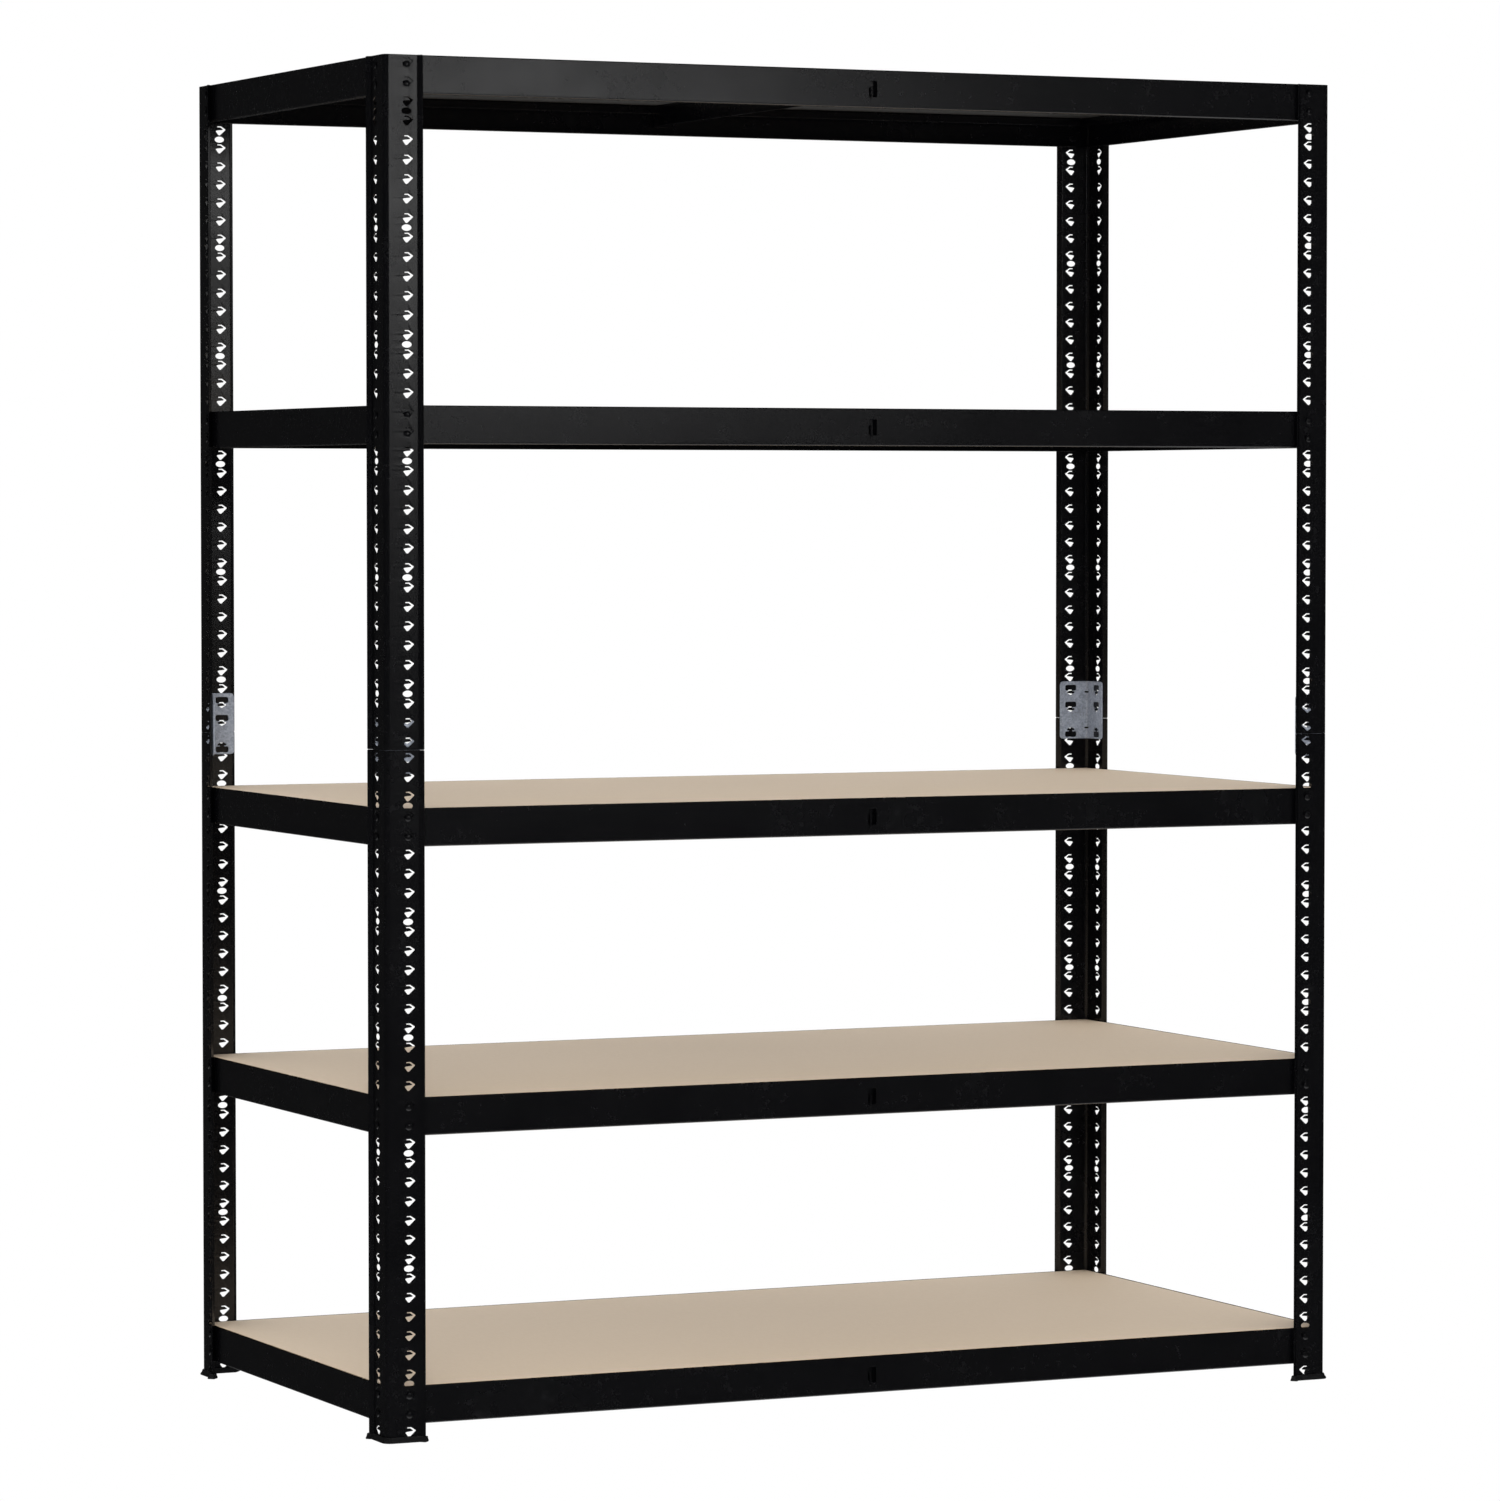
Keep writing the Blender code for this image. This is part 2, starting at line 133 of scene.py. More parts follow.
# ---- places, from the frame -----------------------------------------------------------------
LIP_OUT = LIP * math.sin(math.radians(LIP_ANGLE))
upright_low, upright_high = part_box("upper_upright_front_left")
WIDTH = -2 * (upright_low.x + LIP_OUT)
DEPTH = -2 * (upright_low.y + LIP_OUT)
UPRIGHT_LENGTH = upright_high.z - upright_low.z + FIT_GAP
JOINT_HEIGHT = upright_low.z - FIT_GAP


def shelf_top(number):
    """Height of a shelf's beams' top edges, which its board is flush with."""
    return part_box(f"shelf_{number}_board")[1].z


# ---- mesh tools -----------------------------------------------------------------------------
def turn(angle, axis="Z"):
    """A rotation by an angle in degrees."""
    return Matrix.Rotation(math.radians(angle), 4, axis)


def shift(x=0.0, y=0.0, z=0.0):
    """A translation."""
    return Matrix.Translation((x, y, z))


ALONG_X = Matrix(((0, 0, 1, 0), (1, 0, 0, 0), (0, 1, 0, 0), (0, 0, 0, 1)))   # XY section to the YZ plane


def linked(name, data):
    """An object for the data, in the scene."""
    obj = bpy.data.objects.new(name, data)
    bpy.context.scene.collection.objects.link(obj)
    return obj


def evaluated(obj):
    """The object's mesh with its modifiers applied; the object is removed."""
    depsgraph = bpy.context.evaluated_depsgraph_get()
    mesh = bpy.data.meshes.new_from_object(obj.evaluated_get(depsgraph), depsgraph=depsgraph)
    bpy.data.objects.remove(obj)
    return mesh


def edited(mesh, change):
    """Run a bmesh edit on a mesh."""
    bm = bmesh.new()
    bm.from_mesh(mesh)
    change(bm)
    bm.to_mesh(mesh)
    bm.free()
    return mesh


def joined(meshes):
    """One mesh from several."""
    bm = bmesh.new()
    for mesh in meshes:
        bm.from_mesh(mesh)
    result = bpy.data.meshes.new("joined")
    bm.to_mesh(result)
    bm.free()
    return result


def moved(mesh, matrix):
    """A copy of the mesh under a transform; a mirroring one turns its faces round."""
    copy = mesh.copy()
    copy.transform(matrix)
    if matrix.determinant() < 0:
        copy.flip_normals()
    return copy


def smooth(mesh, sharp=50.0):
    """Smooth shading that keeps flat faces flat and edges sharper than an angle sharp."""
    mesh.shade_smooth()
    mesh.set_sharp_from_angle(angle=math.radians(sharp))
    obj = linked("work", mesh)
    weighted = obj.modifiers.new("weighted", "WEIGHTED_NORMAL")
    weighted.keep_sharp = True
    return evaluated(obj)


def rounded(corners, steps=3):
    """A closed outline through (x, y, radius) corners, each turned into an arc."""
    outline = []
    for i, (x, y, radius) in enumerate(corners):
        here = Vector((x, y))
        before = (Vector(corners[i - 1][:2]) - here).normalized()
        after = (Vector(corners[(i + 1) % len(corners)][:2]) - here).normalized()
        if radius == 0:
            outline.append((x, y))
            continue
        half = before.angle(after) / 2
        reach = radius / math.tan(half)
        middle = here + (before + after).normalized() * (radius / math.sin(half))
        first = here + before * reach - middle
        last = here + after * reach - middle
        sweep = math.atan2(first.cross(last), first.dot(last))
        start = math.atan2(first.y, first.x)
        for k in range(steps + 1):
            a = start + sweep * k / steps
            outline.append((middle.x + radius * math.cos(a), middle.y + radius * math.sin(a)))
    return outline


def ellipse(x, y, half_width, half_height, count=20):
    """A closed ellipse."""
    turns = (2 * math.pi * i / count for i in range(count))
    return [(x + half_width * math.cos(a), y + half_height * math.sin(a)) for a in turns]


def rectangle(x0, x1, y0, y1, radius):
    """A closed rectangle with round corners."""
    return rounded([(x0, y0, radius), (x1, y0, radius), (x1, y1, radius), (x0, y1, radius)])


def blank(outline, holes, thickness, edge=CUT_EDGE):
    """A flat sheet with eased edges, in the XY plane and centred on z = 0."""
    curve = bpy.data.curves.new("blank", "CURVE")
    curve.dimensions = "2D"
    curve.fill_mode = "BOTH"
    curve.extrude = thickness / 2 - edge
    curve.bevel_depth = edge
    curve.bevel_resolution = 0
    curve.offset = -edge
    for points in [outline] + holes:
        spline = curve.splines.new("POLY")
        spline.points.add(len(points) - 1)
        for point, (x, y) in zip(spline.points, points):
            point.co = (x, y, 0.0, 1.0)
        spline.use_cyclic_u = True
    mesh = evaluated(linked("work", curve))
    mesh.materials.clear()
    return edited(mesh, weld)


def weld(bm):
    """Join a curve's loose caps to its sides."""
    bmesh.ops.remove_doubles(bm, verts=bm.verts, dist=1e-6)
    bmesh.ops.recalc_face_normals(bm, faces=bm.faces)


def path_length(path):
    """The length of a path's stretches together."""
    return sum(length for length, _ in path)


def bend(radius, angle):
    """A stretch of path: an arc that turns left by an angle in degrees."""
    return (radius * math.radians(abs(angle)), angle)


def fold(mesh, path, start, heading):
    """Fold a flat sheet: its x follows the path, its y lies along the folds.

    The path is a list of (length, degrees turned to the left). The folds end up along Z.
    """
    def crease(bm):
        """Cut the sheet across wherever it turns, and bend it."""
        x = 0.0
        for length, angle in path:
            steps = max(1, round(abs(math.radians(angle)) / BEND_STEP)) if angle else 1
            for k in range(steps):
                cut = x + length * k / steps
                everything = bm.verts[:] + bm.edges[:] + bm.faces[:]
                here = (cut, 0, 0)
                bmesh.ops.bisect_plane(bm, geom=everything, dist=1e-7, plane_co=here, plane_no=(1, 0, 0))
            x += length
        for vert in bm.verts:
            vert.co = place(vert.co)
        bmesh.ops.reverse_faces(bm, faces=bm.faces)

    def place(co):
        """Where a point of the flat sheet goes."""
        x, at, angle_at = 0.0, Vector(start), math.radians(heading)
        for i, (length, angle) in enumerate(path):
            curve = math.radians(angle) / length
            here = co.x - x
            last = i == len(path) - 1
            if here <= length + 1e-9 or last:
                return stepped(at, angle_at, curve, here, co.z, co.y)
            x += length
            end = stepped(at, angle_at, curve, length, 0.0, 0.0)
            at = Vector(end[:2])
            angle_at += math.radians(angle)

    def stepped(at, angle_at, curve, along, depth, height):
        """A point some way along a straight or an arc, and off it by a depth."""
        h = angle_at + curve * along
        if curve:
            x = at.x + (math.sin(h) - math.sin(angle_at)) / curve
            y = at.y - (math.cos(h) - math.cos(angle_at)) / curve
        else:
            x = at.x + along * math.cos(h)
            y = at.y + along * math.sin(h)
        return Vector((x - depth * math.sin(h), y + depth * math.cos(h), height))

    return edited(mesh, crease)


def turned(profile, sides):
    """A solid of revolution about Z from (radius, height) points that start and end on the axis."""
    bm = bmesh.new()
    line = [bm.verts.new((radius, 0, height)) for radius, height in profile]
    edges = [bm.edges.new(pair) for pair in zip(line, line[1:])]
    bmesh.ops.spin(bm, geom=line + edges, cent=(0, 0, 0), axis=(0, 0, 1), angle=2 * math.pi, steps=sides)
    bmesh.ops.remove_doubles(bm, verts=bm.verts, dist=1e-6)
    bmesh.ops.recalc_face_normals(bm, faces=bm.faces)
    mesh = bpy.data.meshes.new("turned")
    bm.to_mesh(mesh)
    bm.free()
    return mesh


# ---- material tools -------------------------------------------------------------------------
class Finish:
    """A Principled BSDF material whose textures sit in the object's own space."""

    def __init__(self, name):
        self.material = bpy.data.materials.new(name)
        self.material.use_nodes = True
        self.nodes = self.material.node_tree.nodes
        self.shader = self.nodes["Principled BSDF"]
        coordinates = self.nodes.new("ShaderNodeTexCoord")
        info = self.nodes.new("ShaderNodeObjectInfo")
        offset = self.math("MULTIPLY", info.outputs["Random"], 7.0)
        self.shifted = self.vector("ADD", coordinates.outputs["Object"], offset)

    def link(self, source, target):
        self.material.node_tree.links.new(source, target)

    def feed(self, socket, value):
        if isinstance(value, bpy.types.NodeSocket):
            self.link(value, socket)
        else:
            socket.default_value = value

    def math(self, operation, a, b):
        node = self.nodes.new("ShaderNodeMath")
        node.operation = operation
        self.feed(node.inputs[0], a)
        self.feed(node.inputs[1], b)
        return node.outputs[0]

    def vector(self, operation, a, b):
        node = self.nodes.new("ShaderNodeVectorMath")
        node.operation = operation
        self.feed(node.inputs[0], a)
        self.feed(node.inputs[1], b)
        return node.outputs[0]

    def noise(self, scale, detail=2.0, roughness=0.5, stretch=(1, 1, 1)):
        node = self.nodes.new("ShaderNodeTexNoise")
        node.inputs["Scale"].default_value = scale
        node.inputs["Detail"].default_value = detail
        node.inputs["Roughness"].default_value = roughness
        self.link(self.vector("MULTIPLY", self.shifted, stretch), node.inputs["Vector"])
        return node.outputs["Fac"]

    def cells(self, scale):
        """Random colours, one for each cell."""
        node = self.nodes.new("ShaderNodeTexVoronoi")
        node.inputs["Scale"].default_value = scale
        self.link(self.shifted, node.inputs["Vector"])
        return node.outputs["Color"]

    def ramp(self, factor, low, high):
        """Spread a factor's range low..high over 0..1."""
        node = self.nodes.new("ShaderNodeMapRange")
        self.feed(node.inputs["Value"], factor)
        node.inputs["From Min"].default_value = low
        node.inputs["From Max"].default_value = high
        return node.outputs["Result"]

    def between(self, factor, low, high):
        """A value that goes from low to high with the factor."""
        node = self.nodes.new("ShaderNodeMapRange")
        self.feed(node.inputs["Value"], factor)
        node.inputs["To Min"].default_value = low
        node.inputs["To Max"].default_value = high
        return node.outputs["Result"]

    def mix(self, factor, a, b):
        node = self.nodes.new("ShaderNodeMix")
        node.data_type = "RGBA"
        self.feed(node.inputs["Factor"], factor)
        for socket, value in ((node.inputs[6], a), (node.inputs[7], b)):
            self.feed(socket, value if isinstance(value, bpy.types.NodeSocket) else (*value, 1.0))
        return node.outputs[2]

    def bump(self, height, strength, distance, below=None):
        node = self.nodes.new("ShaderNodeBump")
        node.inputs["Strength"].default_value = strength
        node.inputs["Distance"].default_value = distance
        self.link(height, node.inputs["Height"])
        if below is not None:
            self.link(below, node.inputs["Normal"])
        return node.outputs["Normal"]


def powder_coat():
    """Glossy black powder coat: orange peel, fine grain, and faint dust."""
    finish = Finish("black_powder_coat")
    peel = finish.noise(620, 1.0)
    grain = finish.noise(2600, 2.0)
    cloud = finish.noise(9, 3.0, 0.6)
    dust = finish.ramp(finish.noise(75, 5.0, 0.7), 0.56, 0.80)
    dust = finish.math("MULTIPLY", dust, finish.ramp(cloud, 0.35, 0.75))
    colour = finish.mix(cloud, (0.0008, 0.0008, 0.0012), (0.0014, 0.0014, 0.0019))
    colour = finish.mix(finish.math("MULTIPLY", dust, 0.08), colour, (0.055, 0.057, 0.062))
    shader = finish.shader
    finish.link(colour, shader.inputs["Base Color"])
    finish.link(finish.between(finish.math("ADD", cloud, dust), 0.20, 0.32), shader.inputs["Roughness"])
    shader.inputs["Specular IOR Level"].default_value = 0.5
    rough = finish.bump(grain, 0.05, 0.00006)
    finish.link(finish.bump(peel, 0.05, 0.0002, rough), shader.inputs["Normal"])
    return finish.material


def galvanised():
    """Hot-dip zinc: blue-grey spangle with a soft sheen."""
    finish = Finish("galvanised_steel")
    spangle = finish.nodes.new("ShaderNodeSeparateColor")
    finish.link(finish.cells(420), spangle.inputs[0])
    flake = spangle.outputs[0]
    tarnish = finish.noise(60, 4.0, 0.6)
    colour = finish.mix(flake, (0.20, 0.22, 0.26), (0.33, 0.36, 0.42))
    stained = finish.math("MULTIPLY", finish.ramp(tarnish, 0.5, 0.8), 0.5)
    colour = finish.mix(stained, colour, (0.15, 0.16, 0.18))
    shader = finish.shader
    finish.link(colour, shader.inputs["Base Color"])
    shader.inputs["Metallic"].default_value = 0.6
    finish.link(finish.between(flake, 0.30, 0.50), shader.inputs["Roughness"])
    finish.link(finish.bump(finish.noise(900, 2.0), 0.15, 0.0002), shader.inputs["Normal"])
    return finish.material


def fibreboard():
    """Pressed fibreboard: a smooth tan face, rawer brown edges, and an underside painted near black as
    painted shade.
    """
    finish = Finish("fibreboard")
    fibres = finish.noise(260, 6.0, 0.65, (1.0, 0.22, 1.0))
    specks = finish.ramp(finish.noise(700, 3.0, 0.6), 0.62, 0.74)
    cloud = finish.noise(2.2, 3.0, 0.5)
    face = finish.mix(cloud, (0.600, 0.478, 0.350), (0.640, 0.515, 0.385))
    face = finish.mix(finish.math("MULTIPLY", fibres, 0.22), face, (0.42, 0.32, 0.21))
    face = finish.mix(finish.math("MULTIPLY", specks, 0.18), face, (0.30, 0.21, 0.13))
    raw = finish.mix(finish.noise(900, 4.0, 0.7), (0.28, 0.19, 0.11), (0.42, 0.31, 0.20))
    # painted shade: the underside colour is near black to stand for the shade under each board, not a colour
    # of the fibreboard
    under = finish.mix(finish.noise(340, 5.0, 0.7), (0.0035, 0.0033, 0.0030), (0.010, 0.009, 0.008))
    geometry = finish.nodes.new("ShaderNodeNewGeometry")
    normal = finish.nodes.new("ShaderNodeSeparateXYZ")
    finish.link(geometry.outputs["Normal"], normal.inputs[0])
    up = finish.ramp(normal.outputs["Z"], 0.55, 0.85)
    # mask of the downward faces, which get the painted shade colour
    down = finish.ramp(finish.math("MULTIPLY", normal.outputs["Z"], -1.0), 0.55, 0.85)
    colour = finish.mix(up, raw, face)
    colour = finish.mix(down, colour, under)
    shader = finish.shader
    finish.link(colour, shader.inputs["Base Color"])
    finish.link(finish.between(fibres, 0.52, 0.68), shader.inputs["Roughness"])
    finish.link(finish.bump(fibres, 0.12, 0.0003), shader.inputs["Normal"])
    return finish.material


def moulded_plastic():
    """Black injection-moulded plastic with a fine spark-eroded grain."""
    finish = Finish("black_plastic")
    grain = finish.noise(1500, 3.0, 0.6)
    scuff = finish.ramp(finish.noise(140, 4.0, 0.7), 0.58, 0.78)
    scuffed = finish.math("MULTIPLY", scuff, 0.35)
    colour = finish.mix(scuffed, (0.0030, 0.0030, 0.0034), (0.016, 0.016, 0.016))
    shader = finish.shader
    finish.link(colour, shader.inputs["Base Color"])
    finish.link(finish.between(grain, 0.38, 0.55), shader.inputs["Roughness"])
    finish.link(finish.bump(grain, 0.25, 0.0002), shader.inputs["Normal"])
    return finish.material


FINISHES = {
    "black_powder_coat": powder_coat(),
    "galvanised_steel": galvanised(),
    "fibreboard": fibreboard(),
    "black_plastic": moulded_plastic(),
}


def piece(name, mesh, finish, matrix, body, *nodes):
    """Show a mesh as a named piece that rides on a body and stands for CAD nodes."""
    if not mesh.materials:
        mesh.materials.append(FINISHES[finish])
    obj = linked(name, mesh)
    obj.matrix_world = matrix
    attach(obj, body)
    if nodes:
        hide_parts(*nodes)
    return obj


# ---- uprights -------------------------------------------------------------------------------
def keyhole(x, y, side):
    """A crescent round a rivet's seat: its tip points away from the corner, and a tongue reaches in."""
    corners = [
        (-0.0014, -0.00345, 0.0020), (0.0010, -0.0036, 0.0020), (0.0096, 0.0044, 0.0009),
        (0.0026, 0.0090, 0.0007), (-0.0030, 0.0088, 0.0002), (-0.0030, 0.0076, 0.0002),
        (0.0014, 0.0075, 0.0006), (0.0063, 0.0041, 0.0008), (-0.0034, 0.0031, 0.0010),
        (-0.0056, 0.0022, 0.0006),
    ]
    return [(x + side * u, y + v) for u, v in rounded(corners)]


def upright_mesh():
    """An angle with lips that flare outwards; its outer corner is the Z axis and z = 0 its bottom end."""
    middle = UPRIGHT_STEEL / 2
    tilt = math.radians(LIP_ANGLE)
    tangent = CREASE_BEND * math.tan(tilt / 2)
    crease = FLANGE + middle * math.tan(tilt / 2)
    flat = crease - tangent - UPRIGHT_BEND
    lip = LIP + middle * math.tan(tilt / 2) - tangent
    half_path = [(lip, 0), bend(CREASE_BEND, -LIP_ANGLE), (flat, 0)]
    path = half_path + [bend(UPRIGHT_BEND - middle, 90)] + half_path[::-1]
    length = path_length(path)
    tip_run = (lip + tangent) * math.cos(tilt)
    start = (middle - tip_run, crease + tip_run)
    column = bend(UPRIGHT_BEND - middle, 90)[0] / 2 + KEYHOLE_INSET - UPRIGHT_BEND
    holes = []
    for side in (-1, 1):
        x = length / 2 + side * column
        for i in range(KEYHOLE_COUNT):
            holes.append(keyhole(x, UPRIGHT_LENGTH - FIRST_SEAT - i * KEYHOLE_PITCH, side))
        for i in range(OVAL_COUNT):
            y = UPRIGHT_LENGTH - FIRST_OVAL - i * OVAL_PITCH
            holes.append(ellipse(x, y, OVAL_HALF_WIDTH, OVAL_HALF_HEIGHT))
    sheet = blank(rectangle(0, length, FIT_GAP, UPRIGHT_LENGTH, SHEET_CORNER), holes, UPRIGHT_STEEL)
    return smooth(fold(sheet, path, start, -LIP_ANGLE))


# ---- connectors -----------------------------------------------------------------------------
def connector_window(x, y, side):
    """The window a tongue is pressed from: a rounded bar, a narrow neck and a small triangle."""
    corners = [
        (-0.0095, 0.0050, 0.0026), (0.0095, 0.0050, 0.0026), (0.0095, -0.0034, 0.0020),
        (0.0032, -0.0034, 0.0005), (0.0032, -0.0048, 0.0005), (0.0056, -0.0048, 0.0008),
        (0.0074, -0.0062, 0.0008), (0.0, -0.0106, 0.0012), (-0.0074, -0.0062, 0.0008),
        (-0.0056, -0.0048, 0.0008), (-0.0032, -0.0048, 0.0005), (-0.0032, -0.0034, 0.0005),
        (-0.0095, -0.0034, 0.0020),
    ]
    return [(x + u, y + side * v) for u, v in rounded(corners, 2)]


def connector_mesh():
    """The galvanised angle in a corner's joint, with z = 0 at the joint."""
    middle = CONNECTOR_STEEL / 2
    flat = CONNECTOR_LEG - CONNECTOR_BEND
    corner = bend(CONNECTOR_BEND - middle, 90)
    path = [(flat, 0), corner, (flat, 0)]
    length = path_length(path)
    bottom = CONNECTOR_ABOVE_JOINT - CONNECTOR_LENGTH
    column = corner[0] / 2 + KEYHOLE_INSET - WEB_INSET - CONNECTOR_BEND
    last = UPRIGHT_LENGTH - FIRST_SEAT - (KEYHOLE_COUNT - 1) * KEYHOLE_PITCH
    seats = {last + KEYHOLE_PITCH: 1, last: 1, -FIRST_SEAT: -1}
    holes = []
    for side in (-1, 1):
        for seat, up in seats.items():
            holes.append(connector_window(length / 2 + side * column, seat + up * WINDOW_OFFSET, up))
    left, right = length / 2 - BEND_SLOT_HALF_LENGTH, length / 2 + BEND_SLOT_HALF_LENGTH
    for y in (CONNECTOR_ABOVE_JOINT - BEND_SLOT_INSET, bottom + BEND_SLOT_INSET):
        holes.append(rectangle(left, right, y - BEND_SLOT_HALF_HEIGHT, y + BEND_SLOT_HALF_HEIGHT, 0.001))
    outline = rectangle(0, length, bottom, CONNECTOR_ABOVE_JOINT, CONNECTOR_CORNER)
    sheet = blank(outline, holes, CONNECTOR_STEEL)
    angle = fold(sheet, path, (middle, CONNECTOR_LEG), -90)
    shape = [(-0.0066, 0.0012, 0.0006), (0.0, -0.0031, 0.0024), (0.0058, 0.0012, 0.0006)]
    tongue = blank(rounded(shape), [], TONGUE_REACH + middle)
    tongue.transform(turn(90, "X"))
    mirror = Matrix(((0, 1, 0, 0), (1, 0, 0, 0), (0, 0, 1, 0), (0, 0, 0, 1)))
    parts = [angle]
    for seat in seats:
        out = moved(tongue, shift(KEYHOLE_INSET - WEB_INSET, (middle - TONGUE_REACH) / 2, seat))
        parts += [out, moved(out, mirror)]
    return smooth(joined(parts))


# ---- feet -----------------------------------------------------------------------------------
def foot_line(depth, end):
    """The line at a depth behind an upright's outer face, running past its lips by end."""
    tilt = math.radians(LIP_ANGLE)
    crease = (FLANGE + depth * math.tan(tilt / 2), depth)
    along = (LIP + end) * math.cos(tilt) + depth * math.sin(tilt)
    tip = (FLANGE + along, depth * math.cos(tilt) - (LIP + end) * math.sin(tilt))
    radius = UPRIGHT_BEND - depth
    steps = (math.pi + math.pi / 2 * i / 8 for i in range(9))
    corner = [(UPRIGHT_BEND + radius * math.cos(a), UPRIGHT_BEND + radius * math.sin(a)) for a in steps]
    return [(tip[1], tip[0]), (crease[1], crease[0])] + corner + [crease, tip]


def foot_ring(bm, out, inside, end, z):
    """A ring of vertices round an upright's section, grown outwards, inwards and past its lips."""
    points = foot_line(-out, end) + foot_line(UPRIGHT_STEEL + inside, end)[::-1]
    return [bm.verts.new((x, y, z)) for x, y in points]


def foot_mesh():
    """A moulded foot: a flared skirt with a soft rim and the groove the upright stands in."""
    levels = [
        (FOOT_FLARE - 0.0006, FOOT_INNER - 0.0006, FOOT_END - 0.0006, 0.0),
        (FOOT_FLARE, FOOT_INNER, FOOT_END, 0.0006),
        (FOOT_FLARE - 0.0003, FOOT_INNER - 0.0001, FOOT_END - 0.0001, 0.0022),
        (FOOT_RIM + 0.0009, FOOT_RIM + 0.0006, FOOT_RIM, 0.0042),
        (FOOT_RIM, FOOT_RIM, FOOT_RIM - 0.0002, FOOT_HEIGHT - 0.0005),
        (FOOT_RIM - 0.0005, FOOT_RIM - 0.0005, FOOT_RIM - 0.0007, FOOT_HEIGHT),
        (FIT_GAP + 0.0004, FIT_GAP + 0.0004, FIT_GAP + 0.0004, FOOT_HEIGHT),
        (FIT_GAP, FIT_GAP, FIT_GAP, FOOT_HEIGHT - 0.0005),
        (FIT_GAP, FIT_GAP, FIT_GAP, FOOT_FLOOR),
    ]
    bm = bmesh.new()
    rings = [foot_ring(bm, *level) for level in levels]
    for low, high in zip(rings, rings[1:]):
        for i in range(len(low)):
            bm.faces.new((low[i - 1], low[i], high[i], high[i - 1]))
    bm.faces.new(rings[0])
    bm.faces.new(rings[-1])
    bmesh.ops.recalc_face_normals(bm, faces=bm.faces)
    skirt = bpy.data.meshes.new("foot")
    bm.to_mesh(skirt)
    bm.free()
    return smooth(skirt, 40)


# ---- beams ----------------------------------------------------------------------------------
def beam_path():
    """The section of a beam from its ledge's lip to its bottom lip: (stretches, start, heading)."""
    half = BEAM_STEEL / 2
    ledge_bend, riser_bend, bottom_bend = 0.0014, 0.0010, 0.0016
    hem_bend = (HEM_WIDTH - BEAM_STEEL) / 2
    ledge = BOARD_THICKNESS + FIT_GAP + half
    path = [
        (LEDGE_LIP - ledge - ledge_bend, 0),
        bend(ledge_bend, 90),
        (LEDGE_REACH - HEM_WIDTH - ledge_bend - riser_bend, 0),
        bend(riser_bend, -90),
        (ledge - riser_bend - hem_bend - half, 0),
        bend(hem_bend, 180),
        (BEAM_HEIGHT - 2 * half - hem_bend - bottom_bend, 0),
        bend(bottom_bend, 90),
        (BOTTOM_LIP_REACH - half - bottom_bend, 0),
    ]
    return path, (LEDGE_REACH - half, -LEDGE_LIP), 90


def beam_mesh(half_length, notch, slot):
    """A folded beam along X, its web's outer face at y = 0 and its top edge at z = 0."""
    path, start, heading = beam_path()
    length = path_length(path)
    web_start = path_length(path[:6]) - path[5][0] / 2
    web_end = path_length(path[:7])
    short = half_length - notch
    edge, inner = 0.0020, 0.0012
    if notch:
        corners = [
            (0, -short, edge), (web_start, -short, inner), (web_start, -half_length, edge),
            (web_end, -half_length, edge), (web_end, -short, inner), (length, -short, edge),
            (length, short, edge), (web_end, short, inner), (web_end, half_length, edge),
            (web_start, half_length, edge), (web_start, short, inner), (0, short, edge),
        ]
        outline = rounded(corners)
    else:
        outline = rectangle(0, length, -short, short, edge)
    holes = []
    if slot:
        top = path_length(path[:6]) - (HEM_WIDTH - BEAM_STEEL) / 2 - BEAM_STEEL / 2
        holes.append(rectangle(top + SLOT_TOP, top + SLOT_BOTTOM, -SLOT_HALF_WIDTH, SLOT_HALF_WIDTH, 0.0012))
    sheet = blank(outline, holes, BEAM_STEEL)
    folded = fold(sheet, path, start, heading)
    folded.transform(ALONG_X)
    return smooth(folded)


def rivet_mesh():
    """A domed rivet along -Y through a web whose outer face is at y = 0, with its staked end inside."""
    under = WEB_INSET + FIT_GAP
    rim = 0.0004
    stake = 0.0040
    crown = []
    for k in range(7):
        a = math.pi / 2 * k / 6
        height = rim + (RIVET_HEAD_HEIGHT - rim) * math.cos(a)
        crown.append((RIVET_HEAD_RADIUS * math.sin(a), under + height))
    profile = crown + [
        (RIVET_HEAD_RADIUS - 0.0003, under),
        (RIVET_SHANK_RADIUS, under),
        (RIVET_SHANK_RADIUS, -BEAM_STEEL),
        (stake, -BEAM_STEEL),
        (stake, -BEAM_STEEL - 0.0004),
        (stake * 0.8, -BEAM_STEEL - 0.0009),
        (0, -BEAM_STEEL - 0.0011),
    ]
    mesh = turned(profile, 24)
    mesh.transform(turn(90, "X"))
    return mesh


def rivets_mesh(rivet_x):
    """A beam's four rivets, two at each end."""
    rivet = rivet_mesh()
    places = [(x, -FIRST_SEAT - i * KEYHOLE_PITCH) for x in (-rivet_x, rivet_x) for i in (0, 1)]
    return smooth(joined([moved(rivet, shift(x=x, z=z)) for x, z in places]), 35)


